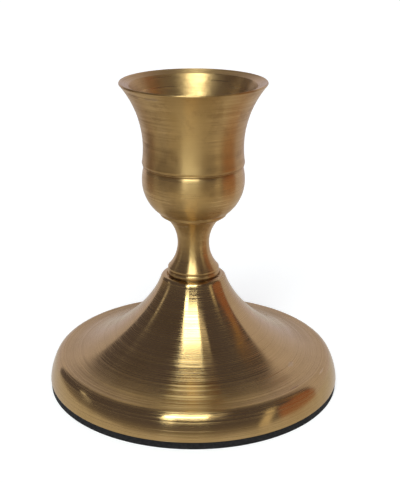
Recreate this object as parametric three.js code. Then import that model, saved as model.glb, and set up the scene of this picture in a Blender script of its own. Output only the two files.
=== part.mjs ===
import * as THREE from 'three';
import { mergeVertices } from 'three/addons/utils/BufferGeometryUtils.js';

// A small turned brass candle holder. Millimetres, +Z up, origin at the centre of the pad's underside.
// Every turned outline is a list of [radius, height] points, drawn counter-clockwise.

// Candle cup
const boreRadius = 11.2; // for a 22 mm candle
const cupWall = 1.25; // at the waist
const cupHeight = 20.9; // from its joint with the bowl to the rim
const cupWaistHeight = 4.7; // above the joint
const cupEdgeHeight = 0.8; // lower edge of the cup's wall, above the joint
const rimFlare = 5.65; // how far the rim stands out beyond the waist
const rimWidth = 2.45;
const rimDrop = 0.9; // how far the rim's flat face slopes down inwards
const rimRounding = 0.09;
const cupSeatWidth = 0.1; // lower face of the cup, at the bottom of the groove

// Bowl under the cup
const bowlHeight = 11.7; // from the stem's collar to the joint with the cup
const bowlWidestHeight = 8.0; // above the collar
const bowlSwell = 0.36; // how far the bowl stands out beyond the cup's waist
const bowlStep = 0.45; // how far its sole stands out beyond the collar
const bowlChamfer = 0.45;
const socketFloorThickness = 1.4; // above the blind hole for the rod
const socketCornerRounding = 2.2;
const spigotWall = 0.55;
const spigotHeight = 2.6;

// Stem
const stemHeight = 15.45;
const stemWall = 1.8; // round the rod's bore, at the waist
const stemWaistHeight = 6.95; // above the stem's lower face
const flangeRadius = 6.5;
const flangeEdge = 0.55;
const collarRadius = 8.5;
const collarHeight = 1.7;
const collarTaper = 1.35; // how far the collar's lower lip is drawn in
const collarShadow = 0.35; // how far that lip stands out over the stem
const collarBulge = 2.4; // radius of the collar's rounded side
const collarRounding = 0.15; // of its upper edge
const upperSpigotWall = 2.3;
const upperSpigotHeight = 1.2;
const lowerSpigotWall = 1.3;
const lowerSpigotDepth = 1.35; // how far it reaches into the foot

// Bead between stem and foot
const ringHeight = 2.25;
const ringStandout = 0.1; // beyond the stem's flange
const beadRadius = 0.75;
const ringBodyInset = 0.3;

// Foot
const footRadius = 37.5;
const footHeight = 27.67; // lower edge to the top of the neck's lip
const neckRecessDepth = 0.8;
const neckLipWidth = 0.35; // flat top of the lip
const neckLipReach = 1.18; // how far its rounding stands out
const neckLipDrop = 0.85; // the flare starts this far below the lip's top
const neckSlope = 71.0; // degrees, flare at the neck
const shoulderSlope = 2.0; // degrees, flare where the shoulder starts
const flareHoldAtNeck = 0.495; // how far the flare keeps to its tangents
const flareHoldAtShoulder = 0.45;
const shoulderRounding = 2.75;
const edgeRounding = 13.7;
const edgeFootLean = 5.2; // degrees, of the edge where it meets the pad
const edgeLean = 27.8; // degrees, where the edge turns into the shoulder
const footWall = 3.0;
const footRimWidth = 3.7; // flat ring under the foot, outside the disc
const hubFloor = 1.55; // between the stem's spigot and the washers

// Disc and pad under the foot
const discThickness = 1.0;
const discChamfer = 0.1;
const discLedge = 1.6; // width of the ledge that the disc lies against
const padThickness = 1.8;
const padInset = 0.15;
const padRounding = 0.35;

// Rod, washers and nut
const rodRadius = 2.0;
const rodChamfer = 0.35;
const rodInBowl = 4.6;
const rodBelowNut = 1.5;
const washerRadius = 4.5;
const washerThickness = 0.8;
const lockWasherRadius = 3.8;
const lockWasherThickness = 1.1;
const lockWasherGap = 24; // degrees
const nutAcrossFlats = 7.0;
const nutHeight = 3.2;

// Clearances
const turnedFit = 0.1; // radial, between a spigot and its bore
const rodFit = 0.2; // radial, round the rod where it passes through
const threadFit = 0.05; // radial, round the rod where it is screwed in
const endFit = 0.3; // at the blind end of a hole
const recessFit = 0.2; // radial, round the ring
const discFit = 0.2;

// Fineness of the facets, in faces round the axis
const footTurns = 52;
const cupTurns = 44;
const stemTurns = 36;
const rodTurns = 24;

const degrees = Math.PI / 180;

// How far a bow of this radius falls away from its tangent over a length
const sag = (along, radius) => radius - Math.sqrt(radius ** 2 - along ** 2);

// Radius of the bow that falls away by a rise over a length
const bowRadius = (along, rise) => (along ** 2 + rise ** 2) / (2 * rise);

// Evenly spaced values, both ends included
function spaced(from, to, steps) {
  return Array.from({ length: steps + 1 }, (_, i) => from + ((to - from) * i) / steps);
}

// Points of a wall whose radius is a function of height
const wall = (radiusAt, from, to, steps) => spaced(from, to, steps).map((z) => [radiusAt(z), z]);

// Points on an arc about a centre, angles in degrees from the radial direction
const arc = ([r, z], radius, from, to, steps) =>
  spaced(from * degrees, to * degrees, steps).map((angle) => [
    r + radius * Math.cos(angle),
    z + radius * Math.sin(angle),
  ]);

// Short arc that rounds the corner b between a and c
function rounded(a, b, c, radius, steps = 3) {
  const corner = new THREE.Vector2(...b);
  const toA = new THREE.Vector2(...a).sub(corner);
  const toC = new THREE.Vector2(...c).sub(corner);
  const halfAngle = Math.acos(toA.clone().normalize().dot(toC.clone().normalize())) / 2;
  const room = Math.min(toA.length(), toC.length()) / 2;
  const reach = Math.min(radius / Math.tan(halfAngle), room);
  const start = corner.clone().addScaledVector(toA.normalize(), reach);
  const end = corner.clone().addScaledVector(toC.normalize(), reach);
  const middle = toA.clone().add(toC).normalize();
  const centre = corner.clone().addScaledVector(middle, reach / Math.cos(halfAngle));
  const startAngle = start.clone().sub(centre).angle() / degrees;
  let sweep = end.clone().sub(centre).angle() / degrees - startAngle;
  if (sweep > 180) sweep -= 360;
  if (sweep < -180) sweep += 360;
  return arc([centre.x, centre.y], centre.distanceTo(start), startAngle, startAngle + sweep, steps);
}

// Solid of revolution about Z. The outline starts and ends on the axis, or is closed here
function turned(outline, turns) {
  const points = outline.map(([r, z]) => new THREE.Vector2(r, z));
  if (points[0].x > 0) points.push(points[0].clone());
  const lathe = new THREE.LatheGeometry(points, turns);
  lathe.rotateX(Math.PI / 2);
  return weld(lathe);
}

// Joins the vertices that lie on each other and renews the normals
function weld(geometry) {
  geometry.deleteAttribute('normal');
  geometry.deleteAttribute('uv');
  const welded = mergeVertices(geometry, 1e-4);
  welded.computeVertexNormals();
  return welded;
}

// Heights of the stack, from the table up
const footBottom = padThickness;
const neckTop = footBottom + footHeight;
const recessFloor = neckTop - neckRecessDepth;
const centringFloor = recessFloor - lowerSpigotDepth - endFit;
const hubBottom = centringFloor - hubFloor;
const stemBottom = recessFloor + ringHeight;
const stemTop = stemBottom + stemHeight;
const bowlTop = stemTop + bowlHeight;
const rimHeight = bowlTop + cupHeight;
const washerBottom = hubBottom - washerThickness;
const lockWasherBottom = washerBottom - lockWasherThickness;
const nutBottom = lockWasherBottom - nutHeight;
const rodBottom = nutBottom - rodBelowNut;
const rodTop = stemTop + rodInBowl;
const socketFloor = rodTop + endFit + socketFloorThickness;

// Radii that follow from what fits into what
const rodBore = rodRadius + rodFit;
const threadBore = rodRadius + threadFit;
const stemWaistRadius = rodBore + stemWall;
const upperSpigotRadius = rodBore + upperSpigotWall;
const lowerSpigotRadius = rodBore + lowerSpigotWall;
const cupWaistRadius = boreRadius + cupWall;
const rimRadius = cupWaistRadius + rimFlare;
const spigotRadius = boreRadius + spigotWall;
const socketRadius = spigotRadius + turnedFit;
const grooveRadius = socketRadius + cupSeatWidth;
const bowlRadius = cupWaistRadius + bowlSwell;
const bowlSoleRadius = collarRadius + bowlStep;
const ringRadius = flangeRadius + ringStandout;
const recessRadius = ringRadius + recessFit;
const lipRadius = recessRadius + neckLipWidth;
const neckRadius = lipRadius + neckLipReach;
const centringRadius = lowerSpigotRadius + turnedFit;
const ledgeRadius = footRadius - footRimWidth;
const hollowRadius = ledgeRadius - discLedge;

// Outer wall of the cup, one bow from its lower edge over the waist to the rim
const waistLevel = bowlTop + cupWaistHeight;
const cupBow = bowRadius(rimHeight - waistLevel, rimRadius - cupWaistRadius);
const cupWallAt = (z) => cupWaistRadius + sag(z - waistLevel, cupBow);

function candleCup() {
  const edge = bowlTop + cupEdgeHeight;
  const rimInner = [rimRadius - rimWidth, rimHeight - rimDrop];
  const rim = [rimRadius, rimHeight];
  const boreBow = bowRadius(rimInner[1] - waistLevel, rimInner[0] - boreRadius);
  const boreAt = (z) => boreRadius + sag(z - waistLevel, boreBow);
  const outside = wall(cupWallAt, edge, rimHeight, 10);
  return turned(
    [
      [grooveRadius, bowlTop],
      ...outside.slice(0, -1),
      ...rounded(outside.at(-2), rim, rimInner, rimRounding),
      ...wall(boreAt, rimInner[1], waistLevel, 6),
      [boreRadius, bowlTop + spigotHeight],
      [socketRadius, bowlTop + spigotHeight],
      [socketRadius, bowlTop],
    ],
    cupTurns,
  );
}

// Outer wall of the bowl, one bow about its widest level
const widestLevel = stemTop + bowlWidestHeight;
const bowlBow = bowRadius(bowlWidestHeight, bowlRadius - bowlSoleRadius);
const bowlWallAt = (z) => bowlRadius - sag(z - widestLevel, bowlBow);

function cupBowl() {
  const chamferBottom = bowlTop - bowlChamfer;
  const corner = [boreRadius, socketFloor];
  const spigotTop = bowlTop + spigotHeight;
  const seat = upperSpigotRadius + turnedFit;
  const seatTop = stemTop + upperSpigotHeight + endFit;
  return turned(
    [
      [0, rodTop + endFit],
      [threadBore, rodTop + endFit],
      [threadBore, seatTop],
      [seat, seatTop],
      [seat, stemTop],
      ...wall(bowlWallAt, stemTop, chamferBottom, 10),
      [grooveRadius, bowlTop],
      [spigotRadius, bowlTop],
      [spigotRadius, spigotTop],
      [boreRadius, spigotTop],
      ...rounded([boreRadius, spigotTop], corner, [0, socketFloor], socketCornerRounding, 4),
      [0, socketFloor],
    ],
    cupTurns,
  );
}

// Stem: flange, waist and collar, with a centring spigot at each end
function stem() {
  const waist = stemBottom + stemWaistHeight;
  const neckStart = stemTop - collarHeight;
  const collarLipRadius = collarRadius - collarTaper;
  const neckStartRadius = collarLipRadius - collarShadow;
  const lowerBow = bowRadius(stemWaistHeight - flangeEdge, flangeRadius - stemWaistRadius);
  const upperBow = bowRadius(neckStart - waist, neckStartRadius - stemWaistRadius);
  const lowerAt = (z) => stemWaistRadius + sag(waist - z, lowerBow);
  const upperAt = (z) => stemWaistRadius + sag(z - waist, upperBow);
  const flangeCorner = [flangeRadius, stemBottom];
  const flangeTop = [flangeRadius, stemBottom + flangeEdge];
  const collarLip = [collarLipRadius, neckStart];
  const collarSide = [collarRadius, neckStart + collarHeight / 2];
  const collarTop = [collarRadius, stemTop];
  return turned(
    [
      [rodBore, recessFloor - lowerSpigotDepth],
      [lowerSpigotRadius, recessFloor - lowerSpigotDepth],
      [lowerSpigotRadius, stemBottom],
      ...rounded([lowerSpigotRadius, stemBottom], flangeCorner, flangeTop, flangeEdge / 2, 2),
      ...wall(lowerAt, flangeTop[1], waist, 7),
      ...wall(upperAt, waist, neckStart, 7).slice(1),
      ...rounded([neckStartRadius, neckStart], collarLip, collarSide, collarShadow / 4, 2),
      ...rounded(collarLip, collarSide, collarTop, collarBulge, 4),
      ...rounded(collarSide, collarTop, [upperSpigotRadius, stemTop], collarRounding, 2),
      [upperSpigotRadius, stemTop],
      [upperSpigotRadius, stemTop + upperSpigotHeight],
      [rodBore, stemTop + upperSpigotHeight],
    ],
    stemTurns,
  );
}

// Ring whose upper part is a bead and whose lower part stands in the neck's recess
function neckRing() {
  const body = ringRadius - ringBodyInset;
  const beadCentre = [ringRadius - beadRadius, stemBottom - beadRadius];
  const beadStart = -Math.acos((body - beadCentre[0]) / beadRadius) / degrees;
  return turned(
    [
      [centringRadius, recessFloor],
      [body, recessFloor],
      ...arc(beadCentre, beadRadius, beadStart, 90, 6),
      [centringRadius, stemBottom],
    ],
    stemTurns,
  );
}

// Edge and shoulder of the foot, from the lower edge up to the start of the flare
function footEdge() {
  const lowerCorner = [footRadius, footBottom];
  const edgeCentre = arc(lowerCorner, -edgeRounding, edgeFootLean, edgeFootLean, 1)[0];
  const inward = edgeRounding - shoulderRounding;
  const shoulderCentre = arc(edgeCentre, inward, edgeLean, edgeLean, 1)[0];
  return [
    ...arc(edgeCentre, edgeRounding, edgeFootLean, edgeLean, 4),
    ...arc(shoulderCentre, shoulderRounding, edgeLean, 90 - shoulderSlope, 6).slice(1),
  ];
}

// Flare from the shoulder up to the neck, a curve that leaves both ends along their slopes
function footFlare(shoulderEnd) {
  const from = new THREE.Vector2(...shoulderEnd);
  const to = new THREE.Vector2(neckRadius, neckTop - neckLipDrop);
  const low = shoulderSlope * degrees;
  const high = neckSlope * degrees;
  const run = from.x - to.x;
  const rise = to.y - from.y;
  // The two tangents cross this far in from the shoulder
  const cross = (run * Math.tan(high) - rise) / (Math.tan(high) - Math.tan(low));
  const crossing = new THREE.Vector2(from.x - cross, from.y + cross * Math.tan(low));
  return new THREE.CubicBezierCurve(
    from,
    from.clone().lerp(crossing, flareHoldAtShoulder),
    to.clone().lerp(crossing, flareHoldAtNeck),
    to,
  );
}

// Rounded lip between the top of the flare and the recess
function neckLip(flareEnd, lipEdge) {
  const overhang = (lipEdge.y - flareEnd.y) / Math.tan(neckSlope * degrees);
  const corner = new THREE.Vector2(flareEnd.x - overhang, lipEdge.y);
  return new THREE.QuadraticBezierCurve(flareEnd, corner, lipEdge).getPoints(5);
}

// Underside of the flare, one wall's thickness below it, from the hub out to the hollow's upright side
function footHollow(flare) {
  const underHub = washerRadius + footWall / 2;
  return spaced(0, 1, 12)
    .map((t) => {
      const { x, y } = flare.getPoint(t);
      const along = flare.getTangent(t);
      return [x - along.y * footWall, y + along.x * footWall];
    })
    .filter(([r, z]) => r < hollowRadius && r > underHub && z < hubBottom)
    .reverse();
}

// Hollow foot, with the recess for the ring in its neck and a ledge for the disc below
function baseFoot() {
  const edge = footEdge();
  const flare = footFlare(edge.at(-1));
  const lip = neckLip(flare.v3, new THREE.Vector2(lipRadius, neckTop));
  const outside = [...flare.getPoints(12).slice(1), ...lip.slice(1)].map(({ x, y }) => [x, y]);
  const ledgeTop = footBottom + discThickness;
  const hollow = footHollow(flare);
  return turned(
    [
      [ledgeRadius, footBottom],
      ...edge,
      ...outside,
      [recessRadius, neckTop],
      [recessRadius, recessFloor],
      [centringRadius, recessFloor],
      [centringRadius, centringFloor],
      [rodBore, centringFloor],
      [rodBore, hubBottom],
      [hollow[0][0], hubBottom],
      ...hollow,
      [hollowRadius, hollow.at(-1)[1]],
      [hollowRadius, ledgeTop],
      [ledgeRadius, ledgeTop],
    ],
    footTurns,
  );
}

// Solid disc with a small chamfer on both edges
function disc(radius, bottom, top, chamfer, turns) {
  return turned(
    [
      [0, bottom],
      [radius - chamfer, bottom],
      [radius, bottom + chamfer],
      [radius, top - chamfer],
      [radius - chamfer, top],
      [0, top],
    ],
    turns,
  );
}

const closingDisc = () =>
  disc(ledgeRadius - discFit, footBottom, footBottom + discThickness, discChamfer, footTurns);

const feltPad = () => disc(footRadius - padInset, 0, padThickness, padRounding, footTurns);

const tieRod = () => disc(rodRadius, rodBottom, rodTop, rodChamfer, rodTurns);

function footWasher() {
  return turned(
    [
      [rodBore, washerBottom],
      [washerRadius, washerBottom],
      [washerRadius, hubBottom],
      [rodBore, hubBottom],
    ],
    rodTurns,
  );
}

// A flat shape raised from one height to another
function raised(shape, bottom, top) {
  const body = new THREE.ExtrudeGeometry(shape, {
    depth: top - bottom,
    bevelEnabled: false,
    curveSegments: rodTurns,
  });
  body.translate(0, 0, bottom);
  return weld(body);
}

// Split washer: an open ring
function lockWasher() {
  const from = (lockWasherGap / 2) * degrees;
  const to = 2 * Math.PI - from;
  const shape = new THREE.Shape();
  shape.absarc(0, 0, lockWasherRadius, from, to, false);
  shape.absarc(0, 0, rodBore, to, from, true);
  return raised(shape, lockWasherBottom, washerBottom);
}

function footNut() {
  const cornerRadius = nutAcrossFlats / 2 / Math.cos(30 * degrees);
  const corners = spaced(0, 300, 5).map(
    (a) => new THREE.Vector2(cornerRadius * Math.cos(a * degrees), cornerRadius * Math.sin(a * degrees)),
  );
  const shape = new THREE.Shape(corners);
  shape.holes.push(new THREE.Path().absarc(0, 0, threadBore, 0, 2 * Math.PI, true));
  return raised(shape, nutBottom, lockWasherBottom);
}

// Finishes
const satinBrass = { color: 0xb8915c, roughness: 0.38, metalness: 1.0 };
const glossyBrass = { color: 0xb8915c, roughness: 0.24, metalness: 1.0 };
const zincSteel = { color: 0xa9abad, roughness: 0.4, metalness: 1.0 };
const blackFelt = { color: 0x2f2c2d, roughness: 0.95, metalness: 0.0 };

const pieces = [
  ['candle_cup', candleCup(), satinBrass],
  ['cup_bowl', cupBowl(), satinBrass],
  ['stem', stem(), glossyBrass],
  ['neck_ring', neckRing(), glossyBrass],
  ['base_foot', baseFoot(), glossyBrass],
  ['tie_rod', tieRod(), zincSteel],
  ['foot_washer', footWasher(), zincSteel],
  ['lock_washer', lockWasher(), zincSteel],
  ['foot_nut', footNut(), zincSteel],
  ['closing_disc', closingDisc(), zincSteel],
  ['felt_pad', feltPad(), blackFelt],
];

const candleHolder = new THREE.Group();
for (const [name, geometry, finish] of pieces) {
  const mesh = new THREE.Mesh(geometry, new THREE.MeshStandardMaterial(finish));
  mesh.name = name;
  candleHolder.add(mesh);
}

export default candleHolder;
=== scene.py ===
"""Turned brass candle holder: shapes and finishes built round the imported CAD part.

Outlines are lists of (radius, height) points in millimetres, drawn counter-clockwise, with heights
measured from the underside of the felt pad. Meshes are in metres.
"""

import math

import bpy
import numpy as np
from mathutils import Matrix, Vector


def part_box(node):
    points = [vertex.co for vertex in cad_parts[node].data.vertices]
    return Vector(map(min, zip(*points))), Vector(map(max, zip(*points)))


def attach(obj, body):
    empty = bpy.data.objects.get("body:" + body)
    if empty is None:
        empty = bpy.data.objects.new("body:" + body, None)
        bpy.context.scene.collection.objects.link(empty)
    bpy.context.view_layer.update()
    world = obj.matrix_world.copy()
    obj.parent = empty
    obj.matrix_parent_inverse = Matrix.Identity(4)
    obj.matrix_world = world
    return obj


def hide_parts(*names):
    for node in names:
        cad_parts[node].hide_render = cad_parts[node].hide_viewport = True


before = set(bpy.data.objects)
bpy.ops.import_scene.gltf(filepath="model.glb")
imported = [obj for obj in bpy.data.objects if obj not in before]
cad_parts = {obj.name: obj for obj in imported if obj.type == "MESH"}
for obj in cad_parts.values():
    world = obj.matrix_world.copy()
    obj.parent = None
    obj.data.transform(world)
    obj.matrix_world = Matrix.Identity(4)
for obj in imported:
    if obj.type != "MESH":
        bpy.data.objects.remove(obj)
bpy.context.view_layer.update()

MM = 0.001
UV_MM = 100.0  # millimetres of outline per unit of the turning map
SHARP = math.radians(32)  # an outline corner sharper than this stays an edge
ON_AXIS = 1e-6  # millimetres
SAME_PLACE = 1e-4


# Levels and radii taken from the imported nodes
def span(node):
    """Lowest and highest height and the radius of a CAD node, in millimetres."""
    low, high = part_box(node)
    return low.z / MM, high.z / MM, high.x / MM


pad_bottom, pad_top, pad_radius = span("felt_pad")
foot_bottom, neck_top, foot_radius = span("base_foot")
recess_floor, stem_bottom, ring_radius = span("neck_ring")
stem_low, upper_spigot_top, collar_radius = span("stem")
stem_top, spigot_top, bowl_radius = span("cup_bowl")
bowl_top, rim_height, _ = span("candle_cup")
_, rod_top, rod_radius = span("tie_rod")

# Clearances
turned_fit = 0.1  # radial, between a spigot and its bore
rod_fit = 0.2  # radial, round the rod where it passes through
thread_fit = 0.05  # radial, round the rod where it is screwed in
end_fit = 0.3  # at the blind end of a hole
recess_fit = 0.2  # radial, round the ring
rod_bore = rod_radius + rod_fit
thread_bore = rod_radius + thread_fit

# Candle cup
bore_radius = 11.2  # for a 22 mm candle
cup_wall = 1.25  # at the waist
cup_waist_radius = bore_radius + cup_wall
cup_waist_height = 4.7  # above the joint with the bowl
waist_level = bowl_top + cup_waist_height
rim_flare = 5.65  # how far the rim stands out beyond the waist
rim_radius = cup_waist_radius + rim_flare
rim_width = 2.45
rim_drop = 0.9  # how far the rim's face slopes down inwards
rim_land = 0.4  # height of the rim's upright edge
rim_rounding = 0.15
rim_inner_rounding = 0.25
mouth_slope = 29.0  # degrees from the axis, of the cone inside the rim
mouth_rounding = 6.0  # where that cone meets the bore
mouth_run_out = 2.0  # the bore is straight from this far below the cone

# Lower edge of the cup, curved in onto a fine bead
cup_edge_height = 0.7  # above the joint with the bowl
cup_edge_inset = 0.32
cup_edge_rounding = 1.0
bead_line_radius = 0.14
bead_line_inset = 0.03

# Bowl
bowl_widest_height = 8.0  # above the stem's collar
bowl_step = 0.5  # how far its sole stands out beyond the collar
bowl_sole_radius = collar_radius + bowl_step
bowl_sole_rounding = 0.1
bowl_upper_bow = 14.0  # radius of the bow above the widest place
crown_height = 1.15  # of the tighter curve that closes the bowl
crown_radius = 2.5
spigot_wall = 0.55
spigot_radius = bore_radius + spigot_wall
socket_radius = spigot_radius + turned_fit
socket_floor_thickness = 1.4  # above the blind hole for the rod
socket_floor = rod_top + end_fit + socket_floor_thickness
socket_corner = 2.2

# Stem
stem_wall = 1.8  # round the rod's bore, at the waist
upper_spigot_wall = 2.3
lower_spigot_wall = 1.3
stem_waist_radius = rod_bore + stem_wall
stem_waist_height = 6.95
flange_radius = 6.5
flange_edge = 0.55
flange_sole_rounding = 0.2
flange_rounding = 0.1
collar_height = 1.7
collar_taper = 1.3  # how far the collar's lower lip is drawn in
collar_lip_radius = collar_radius - collar_taper
collar_lip_rounding = 0.16
collar_shadow = 0.35  # how far that lip stands out over the stem
collar_shadow_rounding = 0.05
collar_bulge = 2.4  # radius of the collar's rounded side
collar_top_rounding = 0.12
upper_spigot_radius = rod_bore + upper_spigot_wall
lower_spigot_radius = rod_bore + lower_spigot_wall

# Ring between stem and foot
ring_standout = 0.1  # beyond the stem's flange
bead_radius = 0.75
ring_body_inset = 0.3
centring_radius = lower_spigot_radius + turned_fit

# Foot
recess_radius = flange_radius + ring_standout + recess_fit
neck_lip_width = 0.35  # flat top of the lip round the recess
neck_lip_reach = 1.18  # how far its rounding stands out
neck_lip_drop = 0.85
neck_lip_rounding = 0.05
recess_rounding = 0.08
lip_radius = recess_radius + neck_lip_width
neck_radius = lip_radius + neck_lip_reach
neck_slope = 71.0  # degrees, flare at the neck
shoulder_slope = 2.0  # degrees, flare where the shoulder starts
hold_at_neck = 0.495  # how far the flare keeps to its tangents
hold_at_shoulder = 0.45
shoulder_rounding = 2.75
edge_rounding = 13.7
edge_foot_lean = 5.2  # degrees, of the edge where it meets the pad
edge_lean = 27.8  # degrees, where the edge turns into the shoulder
foot_wall = 3.0
foot_rim_width = 3.7  # flat ring under the foot, outside the disc
foot_rim_rounding = 0.15
ledge_radius = foot_radius - foot_rim_width
ledge_width = 1.6
hollow_radius = ledge_radius - ledge_width
disc_thickness = 1.0
hub_floor = 1.55  # between the stem's spigot and the washers
hub_radius = 6.0
centring_floor = stem_low - end_fit
hub_bottom = centring_floor - hub_floor

# Pad
pad_rounding = 0.12

# Faces round the axis
FOOT_TURNS = 192
CUP_TURNS = 160
STEM_TURNS = 128

# Spacing of the rings on straight stretches, in millimetres
RIM_RINGS = 0.2
MOUTH_RINGS = 0.25
BORE_RINGS = 0.41
FLOOR_RINGS = 0.6
PAD_RINGS = 1.2
PAD_SIDE_RINGS = 0.3
SMALLEST_GAP = 0.02  # between a rounding and the ring before it


# Outline tools
def spaced(start, end, steps):
    """Evenly spaced values, both ends included."""
    return [start + (end - start) * i / steps for i in range(steps + 1)]


def sag(along, radius):
    """How far a bow of this radius falls away from its tangent over a length."""
    return radius - math.sqrt(radius**2 - along**2)


def bow_radius(along, rise):
    """Radius of the bow that falls away by a rise over a length."""
    return (along**2 + rise**2) / (2 * rise)


def wall(radius_at, start, end, steps):
    """Points of a wall whose radius is a function of height."""
    return [(radius_at(z), z) for z in spaced(start, end, steps)]


def arc(centre, radius, start, end, steps):
    """Points on an arc, angles in degrees from the radial direction."""
    angles = [math.radians(a) for a in spaced(start, end, steps)]
    return [(centre[0] + radius * math.cos(a), centre[1] + radius * math.sin(a)) for a in angles]


def rounded(a, b, c, radius, steps):
    """Arc that rounds the corner b. It runs from the side of a to the side of c.

    It takes at most half the way to a and to c, so on a curve these are points a few steps away.
    """
    a, b, c = (np.array(p, float) for p in (a, b, c))
    to_a, to_c = a - b, c - b
    reach_a, reach_c = np.linalg.norm(to_a), np.linalg.norm(to_c)
    to_a, to_c = to_a / reach_a, to_c / reach_c
    half = math.acos(max(-1.0, min(1.0, float(to_a @ to_c)))) / 2
    reach = min(radius / math.tan(half), 0.49 * min(reach_a, reach_c))
    start, end = b + to_a * reach, b + to_c * reach
    middle = (to_a + to_c) / np.linalg.norm(to_a + to_c)
    centre = b + middle * reach / math.cos(half)
    first = math.degrees(math.atan2(*(start - centre)[::-1]))
    last = math.degrees(math.atan2(*(end - centre)[::-1]))
    sweep = (last - first + 180) % 360 - 180
    return arc(centre, float(np.linalg.norm(start - centre)), first, first + sweep, steps)


def bezier(points, steps):
    """Points on the Bezier curve with these control points."""
    controls = [np.array(p, float) for p in points]
    order = len(controls) - 1
    found = []
    for t in spaced(0, 1, steps):
        weights = [math.comb(order, k) * t**k * (1 - t) ** (order - k) for k in range(order + 1)]
        found.append(tuple(sum(w * p for w, p in zip(weights, controls))))
    return found


def straight(a, b, spacing):
    """Points from a to b, both included, close enough together to carry fine shading."""
    steps = max(1, round(math.dist(a, b) / spacing))
    return [(a[0] + (b[0] - a[0]) * t, a[1] + (b[1] - a[1]) * t) for t in spaced(0, 1, steps)]


def tidy(outline):
    """The outline without points that repeat the one before."""
    kept = [outline[0]]
    for point in outline[1:]:
        if math.dist(point, kept[-1]) > SAME_PLACE:
            kept.append(point)
    return kept


# Turned meshes
def corner_normals(points, closed):
    """For each stretch of the outline, the normals at its two ends as (radial, axial) pairs.

    A gentle corner shares one normal, weighted by the lengths beside it; a sharp one keeps two.
    """
    steps = np.diff(points, axis=0)
    lengths = np.linalg.norm(steps, axis=1)
    faces = np.stack([steps[:, 1], -steps[:, 0]], axis=1) / lengths[:, None]
    count = len(faces)
    starts, ends = faces.copy(), faces.copy()
    for i in range(count):
        after = (i + 1) % count
        if after == 0 and not closed:
            continue
        if faces[i] @ faces[after] < math.cos(SHARP):
            continue
        shared = faces[i] * lengths[i] + faces[after] * lengths[after]
        shared /= np.linalg.norm(shared)
        ends[i] = starts[after] = shared
    return starts, ends


def turned(name, outline, turns):
    """A piece made by turning an outline about the Z axis."""
    outline = tidy(outline)
    closed = outline[0][0] > ON_AXIS
    if closed:
        outline.append(outline[0])
    points = np.array(outline)
    starts, ends = corner_normals(points, closed)
    along = np.concatenate([[0], np.cumsum(np.linalg.norm(np.diff(points, axis=0), axis=1))]) / UV_MM

    angles = math.pi / 2 + np.arange(turns + 1) * 2 * math.pi / turns
    cosines, sines = np.cos(angles), np.sin(angles)
    places, rings = [], []
    for i, (radius, height) in enumerate(points):
        if closed and i == len(points) - 1:
            rings.append(rings[0])
        elif radius < ON_AXIS:
            rings.append([len(places)] * turns)
            places.append((0.0, 0.0, height * MM))
        else:
            rings.append(range(len(places), len(places) + turns))
            for cosine, sine in zip(cosines[:-1], sines[:-1]):
                places.append((radius * MM * cosine, radius * MM * sine, height * MM))

    faces, normals, uvs = [], [], []
    for i in range(len(points) - 1):
        low, high = rings[i], rings[i + 1]
        for j in range(turns):
            k = (j + 1) % turns
            corners = [
                (low[j], j, starts[i], along[i]),
                (low[k], j + 1, starts[i], along[i]),
                (high[k], j + 1, ends[i], along[i + 1]),
                (high[j], j, ends[i], along[i + 1]),
            ]
            if low[j] == low[k]:
                del corners[1]
            elif high[j] == high[k]:
                del corners[2]
            faces.append([c[0] for c in corners])
            for _, column, normal, v in corners:
                normals.append((normal[0] * cosines[column], normal[0] * sines[column], normal[1]))
                uvs += [column / turns, v]

    mesh = bpy.data.meshes.new(name)
    mesh.from_pydata(places, [], faces)
    mesh.polygons.foreach_set("use_smooth", [True] * len(faces))
    mesh.uv_layers.new(name="turning").data.foreach_set("uv", uvs)
    mesh.normals_split_custom_set(normals)
    piece = bpy.data.objects.new(name, mesh)
    bpy.context.scene.collection.objects.link(piece)
    return piece


# Shapes of the visible pieces
def cup_outside(land_bottom):
    """Outside of the cup's wall, from above its lower edge to the rim's upright edge."""
    bow = bow_radius(land_bottom - waist_level, rim_radius - cup_waist_radius)
    start = bowl_top + cup_edge_height
    return wall(lambda z: cup_waist_radius + sag(z - waist_level, bow), start, land_bottom, 90)


def candle_cup():
    """Flared cup with a rounded rim, a conical mouth and a lower edge curved in onto a fine bead."""
    outside = cup_outside(rim_height - rim_land)
    rim = (rim_radius - rim_rounding, rim_height)
    inner = (rim_radius - rim_width, rim_height - rim_drop)
    mouth_depth = (inner[0] - bore_radius) / math.tan(math.radians(mouth_slope))
    mouth = (bore_radius, inner[1] - mouth_depth)
    bore_end = (bore_radius, spigot_top)
    inside = straight(inner, mouth, MOUTH_RINGS)

    turn = rounded(outside[-8], outside[-1], rim, rim_rounding, 6)
    lip = turn + rounded(outside[-1], rim, inner, rim_rounding, 8)
    below_turn = [p for p in outside if p[1] < turn[0][1] - SMALLEST_GAP]
    edge_foot = (outside[0][0] - cup_edge_inset, bowl_top + bead_line_radius)
    bead = arc((edge_foot[0] - bead_line_inset, edge_foot[1]), bead_line_radius, -90, 70, 10)
    return turned(
        "candle_cup_turned",
        [
            *bead,
            *rounded(edge_foot, outside[0], outside[6], cup_edge_rounding, 6),
            *below_turn[1:],
            *lip,
            *straight(lip[-1], inner, RIM_RINGS)[1:-1],
            *rounded(rim, inner, inside[6], rim_inner_rounding, 6),
            *inside[3:-3],
            *rounded(inner, mouth, bore_end, mouth_rounding, 10),
            *straight((bore_radius, mouth[1] - mouth_run_out), bore_end, BORE_RINGS)[1:],
            (socket_radius, spigot_top),
            (socket_radius, bowl_top),
        ],
        CUP_TURNS,
    )


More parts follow.
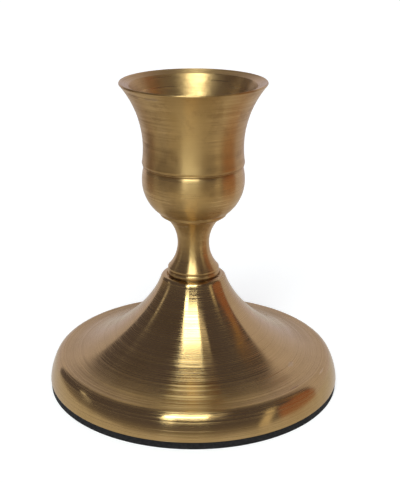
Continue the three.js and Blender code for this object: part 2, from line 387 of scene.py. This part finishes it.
def bowl_outside():
    """Outside of the bowl, from its sole up, closed by a tighter curve at its top."""
    widest = stem_top + bowl_widest_height
    bow = bow_radius(bowl_widest_height, bowl_radius - bowl_sole_radius)
    crown_start = bowl_top - crown_height
    lower = wall(lambda z: bowl_radius - sag(z - widest, bow), stem_top, widest, 44)
    upper = wall(lambda z: bowl_radius - sag(z - widest, bowl_upper_bow), widest, crown_start, 20)
    low = math.asin((crown_start - widest) / bowl_upper_bow)
    high = math.asin(math.sin(low) + crown_height / crown_radius)
    centre = (upper[-1][0] - crown_radius * math.cos(low), crown_start - crown_radius * math.sin(low))
    crown = arc(centre, crown_radius, math.degrees(low), math.degrees(high), 10)
    return lower + upper[1:] + crown[1:]


def cup_bowl():
    """Rounded bowl with the candle's floor, the cup's spigot and the rod's blind hole."""
    outside = bowl_outside()
    seat = upper_spigot_radius + turned_fit
    seat_top = upper_spigot_top + end_fit
    blind_end = rod_top + end_fit
    bore_top = (bore_radius, spigot_top)
    corner = (bore_radius, socket_floor)
    middle = (0, socket_floor)
    return turned(
        "cup_bowl_turned",
        [
            (0, blind_end),
            (thread_bore, blind_end),
            (thread_bore, seat_top),
            (seat, seat_top),
            (seat, stem_top),
            *rounded((seat, stem_top), outside[0], outside[4], bowl_sole_rounding, 5),
            *outside[1:],
            (spigot_radius, bowl_top),
            (spigot_radius, spigot_top),
            bore_top,
            *straight(bore_top, (bore_radius, socket_floor + socket_corner), BORE_RINGS)[1:-1],
            *rounded(bore_top, corner, middle, socket_corner, 12),
            *straight((bore_radius - socket_corner, socket_floor), middle, FLOOR_RINGS)[1:],
        ],
        CUP_TURNS,
    )


def stem():
    """Waisted spindle with a flange at its foot, a rounded collar at its top and a spigot at each end."""
    waist = stem_bottom + stem_waist_height
    neck_start = stem_top - collar_height
    neck_start_radius = collar_lip_radius - collar_shadow
    lower_bow = bow_radius(stem_waist_height - flange_edge, flange_radius - stem_waist_radius)
    upper_bow = bow_radius(neck_start - waist, neck_start_radius - stem_waist_radius)
    lower_start = stem_bottom + flange_edge
    lower = wall(lambda z: stem_waist_radius + sag(waist - z, lower_bow), lower_start, waist, 45)
    upper = wall(lambda z: stem_waist_radius + sag(z - waist, upper_bow), waist, neck_start, 45)
    spigot_corner = (lower_spigot_radius, stem_bottom)
    flange_corner = (flange_radius, stem_bottom)
    under_lip = (neck_start_radius, neck_start)
    lip = (collar_lip_radius, neck_start)
    side = (collar_radius, neck_start + collar_height / 2)
    top = (collar_radius, stem_top)
    bulge = rounded(lip, side, top, collar_bulge, 12)
    return turned(
        "stem_turned",
        [
            (rod_bore, stem_low),
            (lower_spigot_radius, stem_low),
            spigot_corner,
            *rounded(spigot_corner, flange_corner, lower[0], flange_sole_rounding, 6),
            *rounded(flange_corner, lower[0], lower[4], flange_rounding, 5),
            *lower[2:],
            *upper[1:-1],
            *rounded(upper[-2], under_lip, lip, collar_shadow_rounding, 3),
            *rounded(under_lip, lip, bulge[0], collar_lip_rounding, 5),
            *bulge,
            *rounded(bulge[-1], top, (upper_spigot_radius, stem_top), collar_top_rounding, 5),
            (upper_spigot_radius, stem_top),
            (upper_spigot_radius, upper_spigot_top),
            (rod_bore, upper_spigot_top),
        ],
        STEM_TURNS,
    )


def neck_ring():
    """Ring with a rounded bead, which sits in the recess of the foot's neck."""
    body = ring_radius - ring_body_inset
    centre = (ring_radius - bead_radius, stem_bottom - bead_radius)
    bead_start = -math.degrees(math.acos((body - centre[0]) / bead_radius))
    return turned(
        "neck_ring_turned",
        [
            (centring_radius, recess_floor),
            (body, recess_floor),
            *arc(centre, bead_radius, bead_start, 90, 24),
            (centring_radius, stem_bottom),
        ],
        STEM_TURNS,
    )


def foot_edge():
    """Edge and shoulder of the foot, from its lower corner up to the start of the flare."""
    lean = math.radians(edge_foot_lean)
    centre = (foot_radius - edge_rounding * math.cos(lean), foot_bottom - edge_rounding * math.sin(lean))
    shoulder = arc(centre, edge_rounding - shoulder_rounding, edge_lean, edge_lean, 1)[0]
    edge = arc(centre, edge_rounding, edge_foot_lean, edge_lean, 24)
    return edge + arc(shoulder, shoulder_rounding, edge_lean, 90 - shoulder_slope, 24)[1:]


def foot_flare(shoulder_end):
    """The flare's control points, from the shoulder up to the neck."""
    start = np.array(shoulder_end)
    end = np.array((neck_radius, neck_top - neck_lip_drop))
    low = math.tan(math.radians(shoulder_slope))
    high = math.tan(math.radians(neck_slope))
    cross = ((start[0] - end[0]) * high - (end[1] - start[1])) / (high - low)
    crossing = start + np.array((-cross, cross * low))
    return [
        start,
        start + (crossing - start) * hold_at_shoulder,
        end + (crossing - end) * hold_at_neck,
        end,
    ]


def foot_hollow(flare):
    """Underside of the flare, a wall's thickness below it, from the hub outwards."""
    under = []
    for before, after in zip(flare, flare[1:]):
        step = np.subtract(after, before)
        step /= np.linalg.norm(step)
        under.append((before[0] - step[1] * foot_wall, before[1] + step[0] * foot_wall))
    return [p for p in reversed(under) if hub_radius < p[0] < hollow_radius and p[1] < hub_bottom]


def base_foot():
    """Bell-shaped foot, hollow below, with a rounded lip and a recess at its neck."""
    edge = foot_edge()
    flare = bezier(foot_flare(edge[-1]), 110)
    lip_edge = (lip_radius, neck_top)
    overhang = neck_lip_drop / math.tan(math.radians(neck_slope))
    lip = bezier([flare[-1], (flare[-1][0] - overhang, neck_top), lip_edge], 20)
    hollow = foot_hollow(flare)[::3]
    ledge_top = foot_bottom + disc_thickness
    ledge_corner = (ledge_radius, foot_bottom)
    corner = (foot_radius, foot_bottom)
    recess_edge = (recess_radius, neck_top)
    recess_corner = (recess_radius, recess_floor)
    return turned(
        "base_foot_turned",
        [
            ledge_corner,
            *rounded(ledge_corner, corner, edge[6], foot_rim_rounding, 5),
            *edge[1:],
            *flare[1:],
            *lip[1:-1],
            *rounded(lip[-3], lip_edge, recess_edge, neck_lip_rounding, 3),
            *rounded(lip_edge, recess_edge, recess_corner, recess_rounding, 5),
            recess_corner,
            (centring_radius, recess_floor),
            (centring_radius, centring_floor),
            (rod_bore, centring_floor),
            (rod_bore, hub_bottom),
            (hollow[0][0], hub_bottom),
            *hollow,
            (hollow_radius, hollow[-1][1]),
            (hollow_radius, ledge_top),
            (ledge_radius, ledge_top),
        ],
        FOOT_TURNS,
    )


def felt_pad():
    """Thick felt disc with softened edges."""
    top = (pad_radius, pad_top)
    bottom = (pad_radius, pad_bottom)
    flat_radius = pad_radius - 2 * pad_rounding
    side_bottom = (pad_radius, pad_bottom + pad_rounding)
    side_top = (pad_radius, pad_top - pad_rounding)
    return turned(
        "felt_pad_cut",
        [
            (0, pad_bottom),
            *straight((0, pad_bottom), (flat_radius, pad_bottom), PAD_RINGS)[1:],
            *rounded((0, pad_bottom), bottom, top, pad_rounding, 6),
            *straight(side_bottom, side_top, PAD_SIDE_RINGS)[1:-1],
            *rounded(bottom, top, (0, pad_top), pad_rounding, 6),
            *straight((flat_radius, pad_top), (0, pad_top), PAD_RINGS),
        ],
        FOOT_TURNS,
    )


# Node helpers
class Nodes:
    """Short ways to add and join nodes in one tree."""

    def __init__(self, tree):
        self.tree = tree
        tree.nodes.clear()

    def add(self, kind, inputs=None, **settings):
        """A new node with its settings, and its inputs set or linked."""
        node = self.tree.nodes.new(kind)
        for key, value in settings.items():
            setattr(node, key, value)
        for key, value in (inputs or {}).items():
            self.set(node.inputs[key], value)
        return node

    def set(self, socket, value):
        """Links another node's output to a socket, or sets the socket's own value."""
        if isinstance(value, bpy.types.NodeSocket):
            self.tree.links.new(value, socket)
        else:
            socket.default_value = value

    def math(self, operation, *values):
        """The result of a sum, product or other operation on one or more values."""
        node = self.add("ShaderNodeMath", operation=operation)
        for socket, value in zip(node.inputs, values):
            self.set(socket, value)
        return node.outputs[0]

    def step(self, value, low, high):
        """0 below low, 1 above high, smooth between."""
        inputs = {"Value": value, "From Min": low, "From Max": high}
        return self.add("ShaderNodeMapRange", inputs, interpolation_type="SMOOTHSTEP").outputs[0]

    def band(self, value, low, high, soft):
        """1 between low and high, fading over a soft width at both ends."""
        rise = self.step(value, low - soft / 2, low + soft / 2)
        fall = self.step(value, high + soft / 2, high - soft / 2)
        return self.math("MULTIPLY", rise, fall)

    def spread(self, value, low, high, to_low, to_high):
        """Carries a range of values to another one."""
        inputs = {"Value": value, "From Min": low, "From Max": high, "To Min": to_low, "To Max": to_high}
        return self.add("ShaderNodeMapRange", inputs).outputs[0]

    def mix(self, factor, first, second):
        """Colour between the first, at 0, and the second, at 1."""
        node = self.add("ShaderNodeMix", data_type="RGBA")
        self.set(node.inputs[0], factor)
        self.set(node.inputs[6], first)
        self.set(node.inputs[7], second)
        return node.outputs[2]

    def noise(self, vector, scale, detail, roughness):
        """Smooth noise, mostly between 0.3 and 0.7."""
        inputs = {"Vector": vector, "Scale": scale, "Detail": detail, "Roughness": roughness}
        return self.add("ShaderNodeTexNoise", inputs).outputs[0]

    def combine(self, x, y, z):
        """A vector from its three values."""
        return self.add("ShaderNodeCombineXYZ", {"X": x, "Y": y, "Z": z}).outputs[0]


def grey(value):
    """Colour that is the same in red, green and blue."""
    return (value, value, value, 1.0)


# Finishes
LINE_DEPTH = 0.0003  # millimetres
MARK_SCALE = 8.0  # noise cells per millimetre across the turning lines
BAND_SCALE = 4.0
TURN_RADIUS = 0.2  # of one turn in the noise's own space: a small one makes long lines
LONG_LINES = 0.06  # how much the cover of the marks varies from line to line
MARK_LEVEL = 0.70  # noise above this level is a mark, before the cover lowers it
COVER_GAIN = 0.4  # how far full cover lowers it
MARK_SOFTNESS = 0.27  # how far, in noise, a mark takes to fade at its edge
ZONE_FADE = 3.0  # millimetres
PATCH_SCALE = 90.0  # noise cells per metre
STAIN_SCALE = 210.0
WORN_HIGHLIGHT_FROM, WORN_HIGHLIGHT_TO = 0.515, 0.56  # pointiness of an edge that starts to wear and to take a painted highlight, and of a fully worn, highlighted one

SATIN_COLOURS = ((0.58, 0.395, 0.17, 1), (0.53, 0.35, 0.14, 1))
GLOSSY_COLOURS = ((0.52, 0.355, 0.155, 1), (0.47, 0.315, 0.13, 1))
MARK_COLOUR = (0.30, 0.18, 0.08, 1)
STAIN_COLOUR = (0.20, 0.105, 0.045, 1)
# The worn edge colour is lighter than the brass: partly rubbed metal, partly a painted highlight along the
# convex edges
WORN_HIGHLIGHT_COLOUR = (0.68, 0.50, 0.28, 1)
MARK_TINT = 0.10  # shares of these colours
WORN_HIGHLIGHT_TINT = 0.8

PATCH_ROUGHNESS = (-0.01, 0.02)  # roughness that each of these adds
STAIN_ROUGHNESS = 0.08
WORN_ROUGHNESS = 0.2


def turning_lines(nodes, turn_radius, line_scale):
    """Coordinates that change fast across the turning lines and slowly along them."""
    uv = nodes.add("ShaderNodeTexCoord").outputs["UV"]
    split = nodes.add("ShaderNodeSeparateXYZ", {"Vector": uv})
    angle = nodes.math("MULTIPLY", split.outputs["X"], 2 * math.pi)
    across = nodes.math("MULTIPLY", split.outputs["Y"], line_scale * UV_MM)
    x = nodes.math("MULTIPLY", nodes.math("COSINE", angle), turn_radius)
    y = nodes.math("MULTIPLY", nodes.math("SINE", angle), turn_radius)
    return nodes.combine(x, y, across)


def radius_of(nodes, place):
    """Distance from the axis in millimetres."""
    flat = nodes.add("ShaderNodeVectorMath", {0: place, 1: (1 / MM, 1 / MM, 0)}, operation="MULTIPLY")
    return nodes.add("ShaderNodeVectorMath", {0: flat.outputs[0]}, operation="LENGTH").outputs["Value"]


def mark_cover(nodes, place, marks, cover, even, zones):
    """How far each point lies in a tool mark, from 0 to 1.

    marks is the noise that the tool marks are cut from. The other values are those of brass().
    """
    bands = nodes.noise(turning_lines(nodes, TURN_RADIUS, BAND_SCALE), 1.0, 1.5, 0.6)
    depth = LONG_LINES * (1 - 0.8 * even)
    soft = MARK_SOFTNESS * (1 + 1.5 * even)
    level = MARK_LEVEL - COVER_GAIN * cover
    limit = nodes.spread(bands, 0.3, 0.7, level + depth, level - depth)
    for inner, outer, more in zones:
        zone = nodes.band(radius_of(nodes, place), inner, outer, ZONE_FADE)
        limit = nodes.math("SUBTRACT", limit, nodes.math("MULTIPLY", zone, COVER_GAIN * more))
    return nodes.step(nodes.math("SUBTRACT", marks, limit), -soft, soft)


def brass(name, colours, polished, brushed, cover, along, even, tarnish, zones=()):
    """Turned brass: polished metal crossed by fine tool marks, which spread light across them.

    polished and brushed are the roughness between and in the marks, cover is the share of the surface
    that the marks take. along is the anisotropy, and even blends the marks into one another, from 0 to 1.
    tarnish is the strength of brown stains.
    zones are rings, each with its inner and outer radius in millimetres and the cover added there.
    """
    material = bpy.data.materials.new(name)
    material.use_nodes = True
    nodes = Nodes(material.node_tree)
    place = nodes.add("ShaderNodeTexCoord").outputs["Object"]
    marks = nodes.noise(turning_lines(nodes, TURN_RADIUS + even, MARK_SCALE), 1.0, 0.5, 0.5)
    cut = mark_cover(nodes, place, marks, cover, even, zones)

    patches = nodes.noise(place, PATCH_SCALE, 3.0, 0.6)
    clouds = nodes.noise(place, STAIN_SCALE, 4.0, 0.65)
    stains = nodes.math("MULTIPLY", nodes.step(clouds, 0.48, 0.7), tarnish)
    edges = nodes.add("ShaderNodeNewGeometry").outputs["Pointiness"]
    worn_highlight = nodes.step(edges, WORN_HIGHLIGHT_FROM, WORN_HIGHLIGHT_TO)

    colour = nodes.mix(nodes.step(patches, 0.35, 0.75), *colours)
    colour = nodes.mix(nodes.math("MULTIPLY", cut, MARK_TINT), colour, MARK_COLOUR)
    colour = nodes.mix(stains, colour, STAIN_COLOUR)
    # Convex edges are lightened: real wear, plus a painted highlight line along them
    colour = nodes.mix(nodes.math("MULTIPLY", worn_highlight, WORN_HIGHLIGHT_TINT), colour, WORN_HIGHLIGHT_COLOUR)

    rough = nodes.spread(cut, 0.0, 1.0, polished, brushed)
    rough = nodes.math("ADD", rough, nodes.spread(patches, 0.3, 0.7, *PATCH_ROUGHNESS))
    rough = nodes.math("ADD", rough, nodes.math("MULTIPLY", stains, STAIN_ROUGHNESS))
    rough = nodes.math("ADD", rough, nodes.math("MULTIPLY", worn_highlight, WORN_ROUGHNESS))

    bump = nodes.add("ShaderNodeBump", {"Height": marks, "Distance": LINE_DEPTH * MM, "Strength": 1.0})
    tangent = nodes.add("ShaderNodeTangent", direction_type="RADIAL", axis="Z")
    shader = nodes.add(
        "ShaderNodeBsdfPrincipled",
        {
            "Base Color": colour,
            "Metallic": 1.0,
            "Roughness": rough,
            "Anisotropic": along,
            "Anisotropic Rotation": 0.25,
            "Normal": bump.outputs[0],
            "Tangent": tangent.outputs[0],
        },
    )
    nodes.add("ShaderNodeOutputMaterial", {"Surface": shader.outputs[0]})
    return material


def felt():
    """Black felt: matted fibres, darker in the hollows between them."""
    material = bpy.data.materials.new("black_felt")
    material.use_nodes = True
    nodes = Nodes(material.node_tree)
    place = nodes.add("ShaderNodeTexCoord").outputs["Object"]
    hollow = (0.017, 0.016, 0.0165, 1)
    fibre = (0.036, 0.033, 0.0345, 1)
    matted = (0.025, 0.023, 0.024, 1)
    tuft_depth = 0.25 * MM
    tufts = nodes.noise(place, 1400.0, 4.0, 0.7)
    clouds = nodes.noise(place, 160.0, 2.0, 0.5)
    colour = nodes.mix(nodes.step(tufts, 0.35, 0.7), hollow, fibre)
    colour = nodes.mix(nodes.math("MULTIPLY", clouds, 0.3), colour, matted)
    bump = nodes.add("ShaderNodeBump", {"Height": tufts, "Distance": tuft_depth, "Strength": 0.8})
    shader = nodes.add(
        "ShaderNodeBsdfPrincipled",
        {
            "Base Color": colour,
            "Roughness": 0.95,
            "Sheen Weight": 0.05,
            "Specular IOR Level": 0.15,
            "Normal": bump.outputs[0],
        },
    )
    nodes.add("ShaderNodeOutputMaterial", {"Surface": shader.outputs[0]})
    return material


def steel():
    """Zinc-plated steel: cloudy gloss and fine scratches."""
    material = bpy.data.materials.new("zinc_steel")
    material.use_nodes = True
    nodes = Nodes(material.node_tree)
    place = nodes.add("ShaderNodeTexCoord").outputs["Object"]
    clouds = nodes.noise(place, 350.0, 4.0, 0.6)
    scratches = nodes.noise(place, 2500.0, 2.0, 0.6)
    dull = (0.34, 0.35, 0.36, 1)
    bright = (0.46, 0.47, 0.48, 1)
    scratch_depth = 0.01 * MM
    colour = nodes.mix(clouds, dull, bright)
    rough = nodes.spread(clouds, 0.3, 0.7, 0.3, 0.5)
    bump = nodes.add("ShaderNodeBump", {"Height": scratches, "Distance": scratch_depth, "Strength": 0.5})
    shader = nodes.add(
        "ShaderNodeBsdfPrincipled",
        {"Base Color": colour, "Metallic": 1.0, "Roughness": rough, "Normal": bump.outputs[0]},
    )
    nodes.add("ShaderNodeOutputMaterial", {"Surface": shader.outputs[0]})
    return material


# Surroundings. Azimuth 0 is towards the camera and grows to the right, and both angles are in degrees.
def room_colour(nodes, azimuth, elevation):
    """Walls and ceiling: dark above, lighter and warmer towards the floor, pale behind the holder."""
    dark = (0.125, 0.112, 0.145, 1)
    low = (0.72, 0.65, 0.50, 1)
    low_left = (0.31, 0.19, 0.12, 1)
    red_brown = (0.42, 0.19, 0.13, 1)
    low_red_brown = (0.52, 0.31, 0.16, 1)
    door = (0.44, 0.29, 0.15, 1)
    cream = (0.75, 0.70, 0.60, 1)
    pale = (0.70, 0.66, 0.77, 1)

    down = nodes.step(elevation, 15, -35)
    shaded = nodes.math("MULTIPLY", nodes.band(azimuth, -84, -62, 14), 0.3)
    colour = nodes.mix(nodes.math("MULTIPLY", down, nodes.math("SUBTRACT", 1.0, shaded)), dark, low)
    brown_left = nodes.math("MULTIPLY", nodes.band(azimuth, -130, -97, 8), nodes.step(elevation, 2, -12))
    colour = nodes.mix(brown_left, colour, low_left)

    right_top = nodes.math("MULTIPLY_ADD", azimuth, 0.6, -23.0)
    under_top = nodes.step(nodes.math("SUBTRACT", right_top, elevation), -4, 6)
    right = nodes.math("MULTIPLY", nodes.band(azimuth, 68, 108, 8), under_top)
    colour = nodes.mix(right, colour, nodes.mix(nodes.step(elevation, 12, -20), red_brown, low_red_brown))
    tall = nodes.math("MULTIPLY", nodes.band(azimuth, 99, 108, 4), nodes.band(elevation, 30, 54, 10))
    colour = nodes.mix(tall, colour, door)

    aside = nodes.math("ABSOLUTE", azimuth)
    high = nodes.math("MULTIPLY", nodes.step(aside, 148, 164), nodes.step(elevation, 60, 50))
    colour = nodes.mix(high, colour, cream)
    behind_right = archway(nodes, azimuth, elevation, centre=150, top=48, width=8)
    behind_left = archway(nodes, azimuth, elevation, centre=-163, top=39, width=5.2)
    return nodes.mix(nodes.math("MAXIMUM", behind_right, behind_left), colour, pale)


def archway(nodes, azimuth, elevation, centre, top, width):
    """1 under an arch of the given top, that falls away to both sides of its centre."""
    aside = nodes.math("DIVIDE", nodes.math("SUBTRACT", azimuth, centre), width)
    edge = nodes.math("SUBTRACT", top, nodes.math("MULTIPLY", aside, aside))
    inside = nodes.step(nodes.math("SUBTRACT", edge, elevation), -4, 4)
    return nodes.math("MULTIPLY", inside, nodes.step(nodes.math("ABSOLUTE", azimuth), 104, 112))


def window(nodes, azimuth, elevation, colour):
    """A tall window behind the camera, with a narrow lower part on its left and a blind on its right."""
    daylight = (9.0, 9.9, 9.6, 1)
    blind_glow = (1.25, 1.25, 1.2, 1)
    above = nodes.math("SUBTRACT", elevation, 45)
    left_edge = nodes.math("MULTIPLY_ADD", above, -0.15, -27.0)
    far_edge = nodes.math("MULTIPLY_ADD", above, 1.35, 19.0)
    high = nodes.math("MAXIMUM", nodes.math("SUBTRACT", elevation, 52), 0.0)
    right_edge = nodes.math("MULTIPLY_ADD", high, 0.7, 13.0)

    left = nodes.step(nodes.math("SUBTRACT", azimuth, left_edge), -1.5, 1.5)
    pane = nodes.math("MULTIPLY", left, nodes.step(nodes.math("SUBTRACT", right_edge, azimuth), -1.5, 1.5))
    pane = nodes.math("MULTIPLY", pane, nodes.step(elevation, 38.5, 47.0))
    pane = nodes.math("MULTIPLY", pane, nodes.step(elevation, 71.0, 67.0))
    column = nodes.math("MULTIPLY", nodes.band(azimuth, -26.5, -16, 3), nodes.band(elevation, 29, 44, 3))
    blind = nodes.math("MULTIPLY", left, nodes.step(nodes.math("SUBTRACT", far_edge, azimuth), -2, 2))
    blind = nodes.math("MULTIPLY", blind, nodes.band(elevation, 43, 68, 4))
    colour = nodes.mix(blind, colour, blind_glow)
    return nodes.mix(nodes.math("MAXIMUM", pane, column), colour, daylight)


def side_openings(nodes, azimuth, elevation, colour):
    """Two far openings, a slanted one on the left and a tall one on the right."""
    left_light = (0.8, 0.8, 0.82, 1)
    right_light = (0.85, 0.78, 0.65, 1)
    left_side = nodes.math("MULTIPLY_ADD", elevation, 0.9, azimuth)
    left = nodes.math("MULTIPLY", nodes.band(left_side, -84, -76, 3), nodes.band(elevation, 9, 29, 6))
    right_side = nodes.math("MULTIPLY_ADD", nodes.math("MAXIMUM", elevation, 0.0), -0.5, azimuth)
    right = nodes.math("MULTIPLY", nodes.band(right_side, 49, 58, 4), nodes.step(elevation, 33, 27))
    return nodes.mix(right, nodes.mix(left, colour, left_light), right_light)


def surroundings():
    """World: white to the camera, and to everything else a room with one tall window."""
    world = bpy.data.worlds.new("room")
    bpy.context.scene.world = world
    world.use_nodes = True
    nodes = Nodes(world.node_tree)
    direction = nodes.add("ShaderNodeTexCoord").outputs["Generated"]
    split = nodes.add("ShaderNodeSeparateXYZ", {"Vector": direction})
    back = nodes.math("MULTIPLY", split.outputs["Y"], -1.0)
    azimuth = nodes.math("DEGREES", nodes.math("ARCTAN2", split.outputs["X"], back))
    elevation = nodes.math("DEGREES", nodes.math("ARCSINE", split.outputs["Z"]))
    colour = room_colour(nodes, azimuth, elevation)
    colour = window(nodes, azimuth, elevation, colour)
    colour = side_openings(nodes, azimuth, elevation, colour)
    seen = nodes.add("ShaderNodeLightPath").outputs["Is Camera Ray"]
    colour = nodes.mix(seen, colour, grey(1.0))
    background = nodes.add("ShaderNodeBackground", {"Color": colour, "Strength": 1.0})
    nodes.add("ShaderNodeOutputWorld", {"Surface": background.outputs[0]})


SHEET_COLOUR = grey(0.55)


def sheet(name, left, right, front, far, glow_to_camera, glow_to_metal):
    """A flat pale sheet at the height of the table, part of the stage. Sizes are in metres."""
    corners = [(left, front, 0), (right, front, 0), (right, far, 0), (left, far, 0)]
    mesh = bpy.data.meshes.new(name)
    mesh.from_pydata(corners, [], [(0, 1, 2, 3)])
    surface = bpy.data.objects.new(name, mesh)
    bpy.context.scene.collection.objects.link(surface)

    material = bpy.data.materials.new(name)
    material.use_nodes = True
    nodes = Nodes(material.node_tree)
    path = nodes.add("ShaderNodeLightPath")
    metal = nodes.math("MAXIMUM", path.outputs["Is Glossy Ray"], path.outputs["Is Transmission Ray"])
    glow = nodes.math("MULTIPLY", path.outputs["Is Camera Ray"], glow_to_camera)
    glow = nodes.math("ADD", glow, nodes.math("MULTIPLY", metal, glow_to_metal))
    diffuse = nodes.add("ShaderNodeBsdfDiffuse", {"Color": SHEET_COLOUR})
    light = nodes.add("ShaderNodeEmission", {"Color": grey(1.0), "Strength": glow})
    both = nodes.add("ShaderNodeAddShader")
    nodes.set(both.inputs[0], diffuse.outputs[0])
    nodes.set(both.inputs[1], light.outputs[0])
    nodes.add("ShaderNodeOutputMaterial", {"Surface": both.outputs[0]})
    mesh.materials.append(material)
    return surface


def floor():
    """Pale floor that keeps the holder's shadow, and the white table top that the brass mirrors.

    The holder stands near the front edge of the table top.
    """
    reach = 3.0
    wide = sheet("floor", -reach, reach, -reach, reach, glow_to_camera=0.62, glow_to_metal=0.3)
    wide.visible_glossy = False
    left, right, front, far = -0.125, 0.105, -0.058, 1.5
    top = sheet("table_top", left, right, front, far, glow_to_camera=0.53, glow_to_metal=0.5)
    top.visible_camera = False
    top.visible_diffuse = False
    top.visible_shadow = False


def camera():
    """Camera at the photograph's place: in front, above the rim, looking down at the holder."""
    frame_height = 483  # pixels
    focal_pixels = 1008
    axis_offset_pixels = 6.6  # how far the holder stands left of the frame's middle
    sensor = 36.0  # millimetres, as are the next two
    distance = 241.3
    height = 123.45
    tilt = 19.52  # degrees below level
    data = bpy.data.cameras.new("camera")
    data.sensor_width = sensor
    data.lens = sensor * focal_pixels / frame_height
    data.shift_x = axis_offset_pixels / frame_height
    data.clip_start, data.clip_end = 0.01, 20
    eye = bpy.data.objects.new("camera", data)
    eye.location = (0, -distance * MM, height * MM)
    eye.rotation_euler = (math.radians(90 - tilt), 0, 0)
    bpy.context.scene.collection.objects.link(eye)
    bpy.context.scene.camera = eye


# Putting the pieces together
def stand_for(node, piece, material):
    """Gives a piece its finish and lets it stand for a CAD node."""
    piece.data.materials.append(material)
    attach(piece, "root")
    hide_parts(node)


def line_inside(piece, material):
    """Gives the faces that look towards the axis a finish of their own."""
    inward_enough = -0.5
    piece.data.materials.append(material)
    for face in piece.data.polygons:
        outwards = face.center.xy.normalized()
        if face.normal.xy.dot(outwards) < inward_enough:
            face.material_index = 1


def dress():
    """Makes the visible pieces with their finishes, and plates the steel inside."""
    satin = brass("satin_brass_turned", SATIN_COLOURS, polished=0.20, brushed=0.62, cover=0.54,
                  along=0.9, even=0.8, tarnish=0.25)
    bowl_finish = brass("bowl_brass_turned", SATIN_COLOURS, polished=0.18, brushed=0.50, cover=0.50,
                        along=0.94, even=0.8, tarnish=0.2)
    bore = brass("bore_brass_turned", SATIN_COLOURS, polished=0.14, brushed=0.68, cover=0.46,
                 along=0.6, even=0.8, tarnish=0.3)
    stem_finish = brass("stem_brass_turned", SATIN_COLOURS, polished=0.18, brushed=0.54, cover=0.52,
                        along=0.94, even=0.8, tarnish=0.1)
    dish = (27.5, 34.5, 0.35)
    edge = (36.2, 39.0, -0.3)
    glossy = brass("glossy_brass_turned", GLOSSY_COLOURS, polished=0.10, brushed=0.38, cover=0.28,
                   along=1.0, even=0.0, tarnish=0.05, zones=(dish, edge))

    for node, piece, finish in (("candle_cup", candle_cup(), satin), ("cup_bowl", cup_bowl(), bowl_finish)):
        stand_for(node, piece, finish)
        line_inside(piece, bore)
    stand_for("stem", stem(), stem_finish)
    stand_for("neck_ring", neck_ring(), stem_finish)
    stand_for("base_foot", base_foot(), glossy)
    stand_for("felt_pad", felt_pad(), felt())
    plated = steel()
    for node in ("tie_rod", "foot_washer", "lock_washer", "foot_nut", "closing_disc"):
        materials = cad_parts[node].data.materials
        materials.clear()
        materials.append(plated)


camera()
surroundings()
floor()
dress()
bpy.context.scene.view_settings.view_transform = "Standard"
